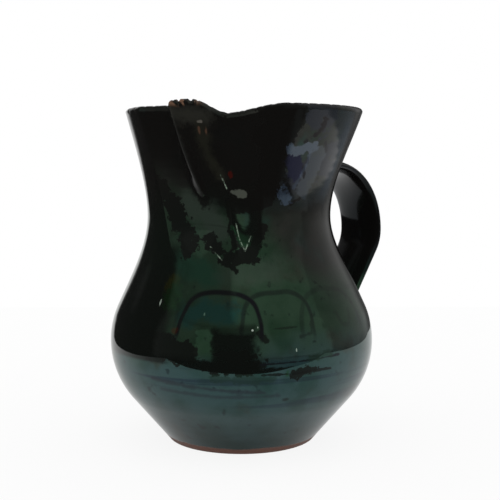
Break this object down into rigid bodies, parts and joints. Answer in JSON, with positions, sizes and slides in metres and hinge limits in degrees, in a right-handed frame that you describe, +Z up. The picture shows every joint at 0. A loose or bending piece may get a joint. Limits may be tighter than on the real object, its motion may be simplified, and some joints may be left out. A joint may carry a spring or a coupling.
{
  "type": "ceramic jug",
  "caption": "Wheel-thrown glazed earthenware jug with a round belly, flared neck, pinched pouring lip and strap handle, for holding and pouring liquids.",
  "frame": {"origin": "centre of the flat base, on the surface that the jug stands on", "axes": "+Z up along the throwing axis, the pouring lip towards -Y, the handle towards +Y and a little towards +X"},
  "size_m": [0.1706, 0.2086, 0.216],
  "materials": {
    "glazed_clay": "dark green glossy glaze"
  },
  "bodies": {
    "root": {"jug": "glazed_clay"}
  },
  "joints": []
}
